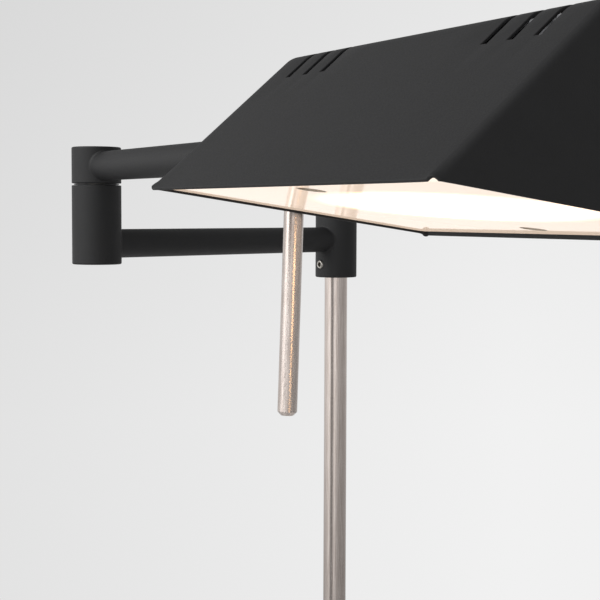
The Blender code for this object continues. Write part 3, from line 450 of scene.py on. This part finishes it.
# Black and half matt
rubber = moulded("black rubber", "#141414", "#1D1D1D", 0.7, 0.6 * MM, 0.2)
acrylic = opal_acrylic(tuple(node_box("diffuser")[2]))
slot_materials = {
    # Inside pieces. Dull and dark, as cast in sand
    "cast_iron": metal("cast iron", "#3A3938", "#4D4B49", 0.62, 1.5 * MM),
    # Yellow, with fine tool marks
    "brass": metal("turned brass", "#B89253", "#C9A768", 0.3, 0.5 * MM),
    # Pale and satin, as it leaves the die
    "aluminium": metal("extruded aluminium", "#A8A9AC", "#BBBCBF", 0.35, 0.9 * MM),
    # Milky white, smooth from the mould
    "nylon": moulded("natural nylon", "#D5D2C8", "#E0DDD4", 0.45, 1.2 * MM, 0.1),
    # Near black with a low sheen
    "dark_plastic": moulded("black acetal", "#161617", "#202022", 0.4, 0.8 * MM, 0.1),
    # Bright and half matt, to throw the light down
    "white_coat": moulded("white reflector paint", "#E3E3DF", "#EFEFEC", 0.45, 1.0 * MM, 0.1),
    # White lacquer over the board's copper
    "board": moulded("white solder mask", "#E2E2DD", "#EDEDE8", 0.4, 1.5 * MM, 0.05),
    "zinc": zinc, "felt": felt, "rubber": rubber, "acrylic": acrylic, "black_coat": coat,
    "stainless": screw_steel}
for part in frame["record"]["subparts"]:
    slots = frame["nodes"][part["node"]].data.materials
    slots.clear()
    slots.append(slot_materials[part["material_slot"]])


# Base and pole


def build_base():
    low, high, _ = node_box("base_cover")
    outer, foot, top = high[0], low[2], high[2]
    inner = outer - COVER_WALL
    turned("base_cover_shell", [
        (SPINDLE_HOLE, top, 0), (outer, top, COVER_EDGE), (outer, foot, EASED_EDGE),
        (inner, foot, EASED_EDGE), (inner, top - COVER_WALL, COVER_EDGE - COVER_WALL),
        (SPINDLE_HOLE, top - COVER_WALL, 0)],
        (0, 0, 0), Z, coat, "stand", ["base_cover"], steps=160)
    _, pad, _ = node_box("base_pad")
    turned("base_felt", [(0, pad[2], 0), (pad[0], pad[2], SMALL_EDGE), (pad[0], 0, SOFT_EDGE), (0, 0, 0)],
           (0, 0, 0), Z, felt, "stand", ["base_pad"], steps=128)
    low, high, middle = node_box("cord_grommet")
    lip = (high[0] - low[0]) / 2
    bore = GROMMET_BORE / 2
    wall = lip - COVER_WALL
    back, face, front = low[1], outer + GROMMET_STANDOFF, high[1]
    round_lip = 0.8 * MM
    turned("cable_grommet", [
        (lip, face, SMALL_EDGE), (lip, front, round_lip), (bore, front, round_lip),
        (bore, back, EASED_EDGE), (wall, back, EASED_EDGE), (wall, face, 0),
        (lip - GROMMET_STANDOFF, face, 0)],
        (middle[0], 0, middle[2]), Y, rubber, "stand", ["cord_grommet"], steps=48)
    low, high, _ = node_box("pole_flange")
    outer, foot, top = high[0], low[2], high[2]
    bore = node_box("pole_lower")[1][0] + CLEARANCE
    turned("pole_foot_ring", [
        (bore, top - 1 * MM, 0), (bore, top, SOFT_EDGE), (bore + RING_CREST, top, 2.0 * MM),
        (outer - RING_TOE, foot + RING_TOE_HEIGHT, 2.5 * MM), (outer, foot + RING_RIM, 0.6 * MM),
        (outer, foot, FINE_EDGE), (bore, foot, 0)],
        (0, 0, 0), Z, pole_steel, "stand", ["pole_flange"])


def build_pole():
    for name, node in (("pole_tube_lower", "pole_lower"), ("pole_tube_upper", "pole_upper")):
        low, high, _ = node_box(node)
        outer = high[0]
        inner = outer - POLE_WALL
        turned(name, [
            (outer, (low[2] + high[2]) / 2, 0), (outer, low[2], EASED_EDGE), (inner, low[2], FINE_EDGE),
            (inner, high[2], FINE_EDGE), (outer, high[2], EASED_EDGE)],
            (0, 0, 0), Z, pole_steel, "stand", [node])


# Arms


def build_collar():
    low, high, _ = node_box("pole_collar")
    screw_low, screw_high, _ = node_box("collar_screw")
    outer, foot, top = high[0], low[2], high[2]
    shoulder, ceiling = foot + COLLAR_SHOULDER, top - COLLAR_ROOF
    aim = np.array([math.cos(SCREW_AZIMUTH), math.sin(SCREW_AZIMUTH), 0])
    screw_z = (screw_low[2] + screw_high[2]) / 2
    turned("pole_collar_body", [
        (0, top, 0), (outer, top, BARREL_EDGE), (outer, foot, BARREL_EDGE), (COLLAR_BORE, foot, SOFT_EDGE),
        (COLLAR_BORE, shoulder, 0), (COLLAR_CHAMBER, shoulder, 0), (COLLAR_CHAMBER, ceiling, 0),
        (0, ceiling, 0)],
        (0, 0, 0), Z, coat, "lower_arm", ["pole_collar"],
        holes=[(aim, screw_z, SCREW_DIA / 2 + CLEARANCE, SCREW_HOLE)])
    hex_screw(aim, screw_z, outer + SCREW_PROUD)


def hex_screw(aim, height, head):
    """Set screw with a hexagon socket.

    Each row goes once round the axis at a radius and a depth. The outside rows are circles, from the tip
    to the crown. The socket's rows are hexagons, whose radius at angle a is half the flats over the cosine
    of a's offset from the nearest flat, and the last row closes them to a drilled point.
    """
    side, across, along = frame_of(aim)
    a = np.arange(72) * TAU / 72
    hexagon = HEX_FLATS / 2 / np.cos((a + TAU / 12) % (TAU / 6) - TAU / 12)
    outer = SCREW_DIA / 2
    tip, drill = 0.1 * MM, 0.5 * MM
    crown_in, crown_down = np.array([0, 0.25, 0.5, 0.65]) * MM, np.array([0.55, 0.2, 0.05, 0]) * MM
    lip_out, lip_down = np.array([0.2, 0.05, 0]) * MM, np.array([0, 0.08, 0.25]) * MM
    radii = np.stack([0 * a, 0 * a + outer * 0.99, 0 * a + outer]
                     + [0 * a + outer - step for step in crown_in]
                     + [hexagon + step for step in lip_out] + [hexagon, 0 * a])
    depth = np.concatenate([[SCREW_LENGTH, SCREW_LENGTH, SCREW_LENGTH - tip], crown_down, lip_down,
                            [HEX_DEPTH, HEX_DEPTH + drill]])
    points = (radii * np.cos(a))[..., None] * side + (radii * np.sin(a))[..., None] * across
    points = points + (head - depth)[:, None, None] * along + np.array([0, 0, height])
    piece("collar_set_screw", [(points, quads(len(depth), len(a), False, True))], screw_steel,
          "lower_arm", ["collar_screw"])


def arm_tube(name, node, start, end, barrel, far_barrel, body):
    """A tube whose ends lie on the barrels it meets, with a fillet of coat.

    At angle a round the tube of radius R, the barrel of radius B is met at sqrt(B^2 - (R cos a)^2) from
    the barrel's axis. Within a fillet f of the barrel the tube's radius grows as R + f - sqrt(f^2 - g^2),
    where g runs from 0 to f towards the barrel.
    """
    start, end = np.asarray(start), np.asarray(end)
    along = unit(end - start)
    across = unit(np.cross(Z, along))
    low, high, _ = node_box(node)
    radius = (high[2] - low[2]) / 2
    a = np.arange(96) * TAU / 96
    grow = np.sin(np.linspace(0, math.pi / 2, 7))
    flare = WELD * (1 - np.sqrt(np.clip(1 - grow ** 2, 0, 1)))

    sunk = 0.02 * MM

    def end_rows(sign):
        rows = []
        for g, f in zip(grow, flare):
            around = (radius + f) * np.cos(a)
            wall = np.sqrt(np.clip(barrel ** 2 - around ** 2, 0, None))
            rows.append(((radius + f) * np.ones_like(a), wall + WELD * (1 - g) - sunk))
        return rows if sign > 0 else rows[::-1]

    length = np.linalg.norm(end - start)
    near = end_rows(-1)
    middle = [(radius * np.ones_like(a), barrel + (length - 2 * barrel) * s + 0 * a)
           for s in (0.02, 0.2, 0.5, 0.8, 0.98)]
    if far_barrel:
        far = [(r, length - reach) for r, reach in end_rows(1)]
    else:
        far = [(radius * np.ones_like(a), length + 0 * a)]
    inner = radius - ARM_WALL
    rows = near + middle + far + [(inner + 0 * a, far[-1][1]), (inner + 0 * a, near[0][1])]
    r = np.stack([row[0] for row in rows])
    reach = np.stack([row[1] for row in rows])
    points = (start + reach[..., None] * along + (r * np.cos(a))[..., None] * across
              + (r * np.sin(a))[..., None] * Z)
    return piece(name, [(points, quads(len(rows), len(a), True, True))], coat, body, [node])


def build_arms():
    low, high, middle = node_box("elbow_lower_barrel")
    elbow = np.array([middle[0], middle[1], 0])
    barrel = (high[0] - low[0]) / 2
    _, _, arm_middle = node_box("lower_arm_tube")
    level = Z * arm_middle[2]
    arm_tube("lower_arm_skin", "lower_arm_tube", level, elbow + level, barrel, True, "lower_arm")

    web = high[2] - LOWER_WEB
    turned("elbow_lower_shell", [
        (SPINDLE_HOLE, high[2], 0), (barrel, high[2], JOINT_EDGE), (barrel, low[2], BARREL_EDGE),
        (BARREL_BORE, low[2], SMALL_EDGE), (BARREL_BORE, web, 0), (SPINDLE_HOLE, web, 0)],
        elbow, Z, coat, "lower_arm", ["elbow_lower_barrel"])
    cap_low, cap_high, _ = node_box("elbow_bottom_cap")
    cap = (cap_high[0] - cap_low[0]) / 2
    turned("elbow_bottom_disc", [
        (0, cap_high[2], 0), (cap, cap_high[2], FINE_EDGE), (cap, cap_low[2], SMALL_EDGE),
        (0, cap_low[2], 0)],
        elbow, Z, coat, "lower_arm", ["elbow_bottom_cap"])

    low, high, _ = node_box("elbow_upper_barrel")
    web = low[2] + UPPER_WEB
    turned("elbow_upper_shell", [
        (BARREL_BORE, high[2], SMALL_EDGE), (barrel, high[2], BARREL_EDGE), (barrel, low[2], JOINT_EDGE),
        (SPINDLE_HOLE, low[2], 0), (SPINDLE_HOLE, web, 0), (BARREL_BORE, web, 0),
        (BARREL_BORE, high[2] - 1 * MM, 0)],
        elbow, Z, coat, "upper_arm", ["elbow_upper_barrel"])
    cap_low, cap_high, _ = node_box("elbow_top_cap")
    turned("elbow_top_disc", [
        (0, cap_high[2], 0), (cap, cap_high[2], SMALL_EDGE), (cap, cap_low[2], FINE_EDGE),
        (0, cap_low[2], 0)],
        elbow, Z, coat, "upper_arm", ["elbow_top_cap"])
    tube_low, tube_high, tube_middle = node_box("upper_arm_tube")
    level = Z * tube_middle[2]
    end = np.array([elbow[0], tube_low[1], tube_middle[2]])
    arm_tube("upper_arm_skin", "upper_arm_tube", elbow + level, end, barrel, False, "upper_arm")


def build_head():
    low, high, middle = node_box("head_socket")
    radius = (high[2] - low[2]) / 2
    tube_low, tube_high, tube_middle = node_box("upper_arm_tube")
    hole = (tube_high[2] - tube_low[2]) / 2 + CLEARANCE
    front = high[1] - low[1]
    origin = np.array([middle[0], high[1], tube_middle[2]])
    rod = joints["dimmer_turn"]
    down = -unit(rod["axis"])
    along = origin[1] - rod["pos_m"][1]
    turned("head_socket_body", [
        (radius, 2 * MM, 0), (radius, 0, BARREL_EDGE), (hole, 0, SMALL_EDGE), (hole, SOCKET_STEP, 0),
        (SPINDLE_HOLE, SOCKET_STEP, 0), (SPINDLE_HOLE, front, 0), (radius, front, SOFT_EDGE),
        (radius, 2.5 * MM, 0)],
        origin, -Y, coat, "upper_arm", ["head_socket"],
        holes=[(down, along, ROD_HOLE, ROD_HOLE_DEPTH)])

    top = np.array(rod["pos_m"])
    low, _, _ = node_box("dimmer_rod")
    length = (top[2] - low[2]) / math.cos(lean)
    shoulder = radius + CLEARANCE
    turned("dimmer_handle", [
        (0, -ROD_TOP, 0), (ROD_NECK, -ROD_TOP, FINE_EDGE), (ROD_NECK, -shoulder, SMALL_EDGE),
        (ROD_RADIUS, -shoulder, EASED_EDGE), (ROD_RADIUS, -length + ROD_CHAMFER, SOFT_EDGE),
        (ROD_RADIUS - ROD_CHAMFER, -length, EASED_EDGE), (0, -length, 0)],
        top, unit(rod["axis"]), rod_steel, "dimmer_rod", ["dimmer_rod"], steps=72)


# Shade


def tilt_frame():
    """The shade's own axes, which lean by its roll about the tilt axis, and its origin."""
    c, s = math.cos(SHADE_ROLL), math.sin(SHADE_ROLL)
    return np.array(joints["shade_tilt"]["pos_m"]), np.array([[c, 0, -s], [0, 1, 0], [s, 0, c]])


def section(inset):
    """The shade's outline across its length, from rim to rim over the ridge, moved inwards by an inset."""
    half, top_half = SHADE_SIZE[0] / 2, SHADE_TOP / 2
    height = SHADE_SIZE[2]
    slant = math.atan2(height, half - top_half)
    shift = inset / math.sin(slant)

    def side(up):
        return half - up * (half - top_half) / height - shift

    stops = [0, 1.5 * MM, 3 * MM, 9 * MM, 25 * MM, 40 * MM, SLOT_ALONG * math.sin(slant)]
    left = [(-side(up), up - RIM_DROP, 0) for up in stops]
    ridge = height - inset
    bend = RIDGE_BEND - inset
    crown = [(-side(ridge), ridge - RIM_DROP, bend), (0, ridge - RIM_DROP, 0),
             (side(ridge), ridge - RIM_DROP, bend)]
    right = [(-x, z, 0) for x, z, _ in left[::-1]]
    return rounded(left + crown + right, 8), len(left)


def build_shade():
    """Folded sheet: a strip, the section carried along Y, whose ends bend round into two end panels.

    Along a bend of radius b the section moves inwards by b (1 - cos a) while Y advances by b sin a. An end
    panel's rows go from the last section, closed along the rim, to a circle round the tilt axis.
    """
    origin, axes = tilt_frame()
    length = SHADE_SIZE[1]
    starts = [SLOT_FIRST + i * SLOT_PITCH for i in range(SLOT_COUNT)]
    slots = [-start for start in starts] + [start - length for start in starts]
    cuts = [y + side * SLOT_WIDTH / 2 for y in slots for side in (-1, 1)]
    bend, beside = CORNER_BEND, CORNER_BEND + 4 * MM
    straight = np.sort(np.concatenate([cuts, [-bend, bend - length], -np.linspace(0.33, 0.67, 7) * length,
                                       [-beside, beside - length]]))[::-1]
    turn = np.linspace(math.pi / 2, 0, 9)[:-1]
    at_y = np.concatenate([-bend + bend * np.sin(turn), straight, bend - length - bend * np.sin(turn[::-1])])
    inset = np.concatenate([bend * (1 - np.cos(turn)), 0 * straight, bend * (1 - np.cos(turn[::-1]))])
    rows = [section(d)[0] for d in inset]
    first_slot = section(0)[1] - 1
    grid = np.stack([np.stack([row[:, 0], np.full(len(row), y), row[:, 1]], -1)
                     for row, y in zip(rows, at_y)])
    cells = quads(*grid.shape[:2])
    middle = (at_y[:-1] + at_y[1:]) / 2
    in_slot = np.any([np.abs(middle - y) < SLOT_WIDTH / 2 for y in slots], axis=0)
    across = np.arange(cells.shape[1])
    crossed = (across >= first_slot) & (across < cells.shape[1] - first_slot)
    keep = ~(in_slot[:, None] & crossed[None, :])
    patches = [(grid, cells[keep])]
    for row, hole in ((grid[0], SPINDLE_HOLE), (grid[-1], 0.0)):
        x, z = row[:, 0], row[:, 2]
        foot = np.linspace(x[-1], x[0], 25)[1:-1]
        outline = np.stack([np.append(x, foot), np.append(z, np.full_like(foot, z[0]))], -1)
        angle = np.arctan2(outline[:, 1], outline[:, 0])
        circle = hole * np.stack([np.cos(angle), np.sin(angle)], -1)
        share = np.array([0, 0.02, 0.1, 0.3, 0.6, 0.85, 1])[:, None, None]
        ring = outline + share * (circle - outline)
        panel = np.stack([ring[..., 0], np.full(ring.shape[:2], row[0, 1]), ring[..., 1]], -1)
        patch = quads(*ring.shape[:2], False, True)
        patches.append((panel, patch[..., ::-1] if hole else patch))

    patches = [(relieved(np.asarray(points)) @ axes + origin, cells) for points, cells in patches]
    shell = piece("shade_folded_sheet", patches, coat, "shade", ["shade_shell"], sharp=40)
    solid = shell.modifiers.new("sheet", 'SOLIDIFY')
    solid.thickness = SHEET
    solid.offset = -1.0
    solid.use_even_offset = True
    edge = shell.modifiers.new("broken edges", 'BEVEL')
    edge.width = SHEET_EDGE
    edge.segments = 3
    edge.limit_method = 'ANGLE'
    edge.angle_limit = math.radians(60)
    return shell


def relieved(points):
    """Lift the rim near the left-hand lower corners into a small round notch, where the two folds meet."""
    half, length = SHADE_SIZE[0] / 2, SHADE_SIZE[1]
    near_x = np.abs(points[..., 0])
    end = np.minimum(-points[..., 1], points[..., 1] + length)
    offset = np.abs((half - near_x) - end) / math.sqrt(2)
    near = (half - near_x < RELIEF_REACH) & (end < RELIEF_REACH) & (points[..., 0] < 0)
    lift = np.sqrt(np.clip(RELIEF_RADIUS ** 2 - offset ** 2, 0, None)) - RELIEF_RADIUS + RELIEF_HEIGHT
    up = points[..., 2] + RIM_DROP
    fade = np.clip(1 - up / RELIEF_FADE, 0, 1)
    lifted = points.copy()
    lifted[..., 2] += np.where(near, np.clip(lift, 0, None) * fade, 0)
    return lifted


def build_light():
    origin, axes = tilt_frame()
    up = axes[2]
    slant = math.atan2(SHADE_SIZE[2], (SHADE_SIZE[0] - SHADE_TOP) / 2)
    wall = SHEET / math.sin(slant)
    for name, along in (("rim_bead_inner", -BEAD_SETBACK), ("rim_bead_outer", BEAD_SETBACK - SHADE_SIZE[1])):
        spot = np.array([SHADE_SIZE[0] / 2 - BEAD_RISE / math.tan(slant) - wall / 2, along,
                         BEAD_RISE - RIM_DROP])
        angle = np.linspace(math.pi / 2, -math.pi / 2, 25)
        turned(name, [(max(BEAD_RADIUS * math.cos(t), 0), BEAD_RADIUS * math.sin(t), 0) for t in angle],
               spot @ axes + origin, up, coat, "shade", ["shade_shell"], steps=32)
    for side in ("left", "right"):
        _, _, middle = node_box("diffuser_eyelet_" + side)
        foot = middle - up * EYELET_DEPTH / 2
        inner, rolled = EYELET_RADIUS - EYELET_WALL, 0.15 * MM
        turned("plate_eyelet_" + side, [
            (EYELET_RADIUS, EYELET_DEPTH, 0), (EYELET_RADIUS, 0, rolled), (inner, 0, rolled),
            (inner, EYELET_DEPTH, 0)],
            foot, up, zinc, "shade", ["diffuser_eyelet_" + side], steps=48)


# Room, lights and camera


CAMERA_PLACE = (-0.50694, -0.83073, 1.16895)
CAMERA_YAW = math.radians(-29.90)
CAMERA_DOWN = math.radians(3.643)
CAMERA_ROLL = math.radians(0.182)
LENS = 82.62


def make_camera():
    data = bpy.data.cameras.new("camera")
    data.lens = LENS
    data.sensor_width = 36.0
    data.clip_start, data.clip_end = 0.05, 100.0
    camera = bpy.data.objects.new("camera", data)
    bpy.context.scene.collection.objects.link(camera)
    turn = (Matrix.Rotation(CAMERA_YAW, 4, 'Z') @ Matrix.Rotation(math.pi / 2 - CAMERA_DOWN, 4, 'X')
            @ Matrix.Rotation(CAMERA_ROLL, 4, 'Z'))
    camera.matrix_world = Matrix.Translation(CAMERA_PLACE) @ turn
    bpy.context.scene.camera = camera


# Room's light at eye level: degrees to the right of the camera's back, brightness
ROOM_LIGHT = ((-180, 0.75), (-130, 0.95), (-95, 1.15), (-68, 1.55), (-56, 1.3), (-47, 0.4), (-31, 0.3),
              (-20, 0.95), (-9, 1.55), (3, 1.1), (12, 0.85), (40, 0.58), (90, 0.5), (130, 0.65),
              (160, 0.75), (180, 0.75))
CEILING_LIGHT = 0.36
GROUND_LIGHT = 0.2
SOFT_BOX_LIGHT = 5.0


def grey(level):
    """A linear grey."""
    return (level, level, level, 1)


def make_world():
    """A pale room: brightest to the left and above it, dim from the front and the right.

    Only the camera sees the backdrop, which darkens a little to the left and upwards.
    """
    world = bpy.data.worlds.new("studio")
    bpy.context.scene.world = world
    world.use_nodes = True
    tree = world.node_tree
    tree.nodes.clear()
    direction = add(tree, "ShaderNodeTexCoord").outputs["Generated"]
    back = (math.sin(CAMERA_YAW), -math.cos(CAMERA_YAW), 0)
    right = (math.cos(CAMERA_YAW), math.sin(CAMERA_YAW), 0)
    soft_box = unit(-0.8 * np.array(right) + 0.5 * np.array(back) + 0.28 * Z)

    def part_of(vector):
        return add(tree, "ShaderNodeVectorMath", {0: direction, 1: tuple(vector)},
                   operation='DOT_PRODUCT').outputs[1]

    aside = part_of(right)
    round_it = add(tree, "ShaderNodeMath", {0: aside, 1: part_of(back)}, operation='ARCTAN2').outputs[0]
    share = ranged(tree, round_it, -math.pi, math.pi, 0.0, 1.0)
    ramp = add(tree, "ShaderNodeValToRGB", {"Fac": share})
    band = ramp.color_ramp
    for _ in range(len(ROOM_LIGHT) - len(band.elements)):
        band.elements.new(0.5)
    for element, (degrees, level) in zip(band.elements, ROOM_LIGHT):
        element.position = (degrees + 180) / 360
        element.color = grey(level)
    up = add(tree, "ShaderNodeSeparateXYZ", {0: direction}).outputs[2]
    lit = blended(tree, ranged(tree, up, 0.12, 0.45, 0.0, 1.0), ramp.outputs[0], grey(CEILING_LIGHT))
    lit = blended(tree, ranged(tree, up, -0.1, -0.4, 0.0, 1.0), lit, grey(GROUND_LIGHT))
    lamp = add(tree, "ShaderNodeMath", {0: ranged(tree, part_of(soft_box), 0.7, 0.9, 0.0, 1.0),
                                        1: ranged(tree, up, 0.12, 0.3, 0.0, 1.0)},
               operation='MULTIPLY').outputs[0]
    lit = blended(tree, lamp, lit, grey(SOFT_BOX_LIGHT))
    light = add(tree, "ShaderNodeBackground", {0: lit, 1: 1.0}).outputs[0]
    fall = add(tree, "ShaderNodeMath", {0: ranged(tree, aside, -0.25, 0.15, 0.0, 0.6),
                                        1: ranged(tree, up, 0.2, -0.15, 0.0, 0.4)},
               operation='ADD').outputs[0]
    backdrop = blended(tree, fall, colour("#D6D6D6"), colour("#F1F1F1"))
    seen = add(tree, "ShaderNodeBackground", {0: backdrop, 1: 1.0}).outputs[0]
    ray = add(tree, "ShaderNodeLightPath").outputs["Is Camera Ray"]
    mixed = add(tree, "ShaderNodeMixShader", {0: ray, 1: light, 2: seen}).outputs[0]
    add(tree, "ShaderNodeOutputWorld", {"Surface": mixed})


FLOOR_FADE = (1.2, 3.1)   # metres from the pole


def make_floor():
    """A pale disc of floor that fades into the room: rings of points round the pole."""
    angle = np.arange(96) * TAU / 96
    radius = np.array([0.0, 0.5, 1.0, 2.0, 3.2])[:, None]
    points = np.stack([radius * np.cos(angle), radius * np.sin(angle), 0 * radius * angle], -1)
    mesh = bpy.data.meshes.new("floor")
    cells = quads(*points.shape[:2], False, True)
    mesh.from_pydata(points.reshape(-1, 3), [], cells.reshape(-1, 4))
    material, tree, shader, place = finish("pale floor", Roughness=0.9)
    shader.inputs["Base Color"].default_value = colour("#E4E4E4")
    away = add(tree, "ShaderNodeVectorMath", {0: place}, operation='LENGTH').outputs[1]
    solid = add(tree, "ShaderNodeMapRange", {"Value": away, "From Min": FLOOR_FADE[0],
                                             "From Max": FLOOR_FADE[1], "To Min": 1.0, "To Max": 0.0},
                interpolation_type='SMOOTHSTEP').outputs[0]
    tree.links.new(solid, shader.inputs["Alpha"])
    mesh.materials.append(material)
    floor = bpy.data.objects.new("floor", mesh)
    bpy.context.scene.collection.objects.link(floor)


build_base()
build_pole()
build_collar()
build_arms()
build_head()
build_shade()
build_light()
make_camera()
make_world()
make_floor()
bpy.context.scene.view_settings.view_transform = 'Standard'

bpy.context.view_layer.update()
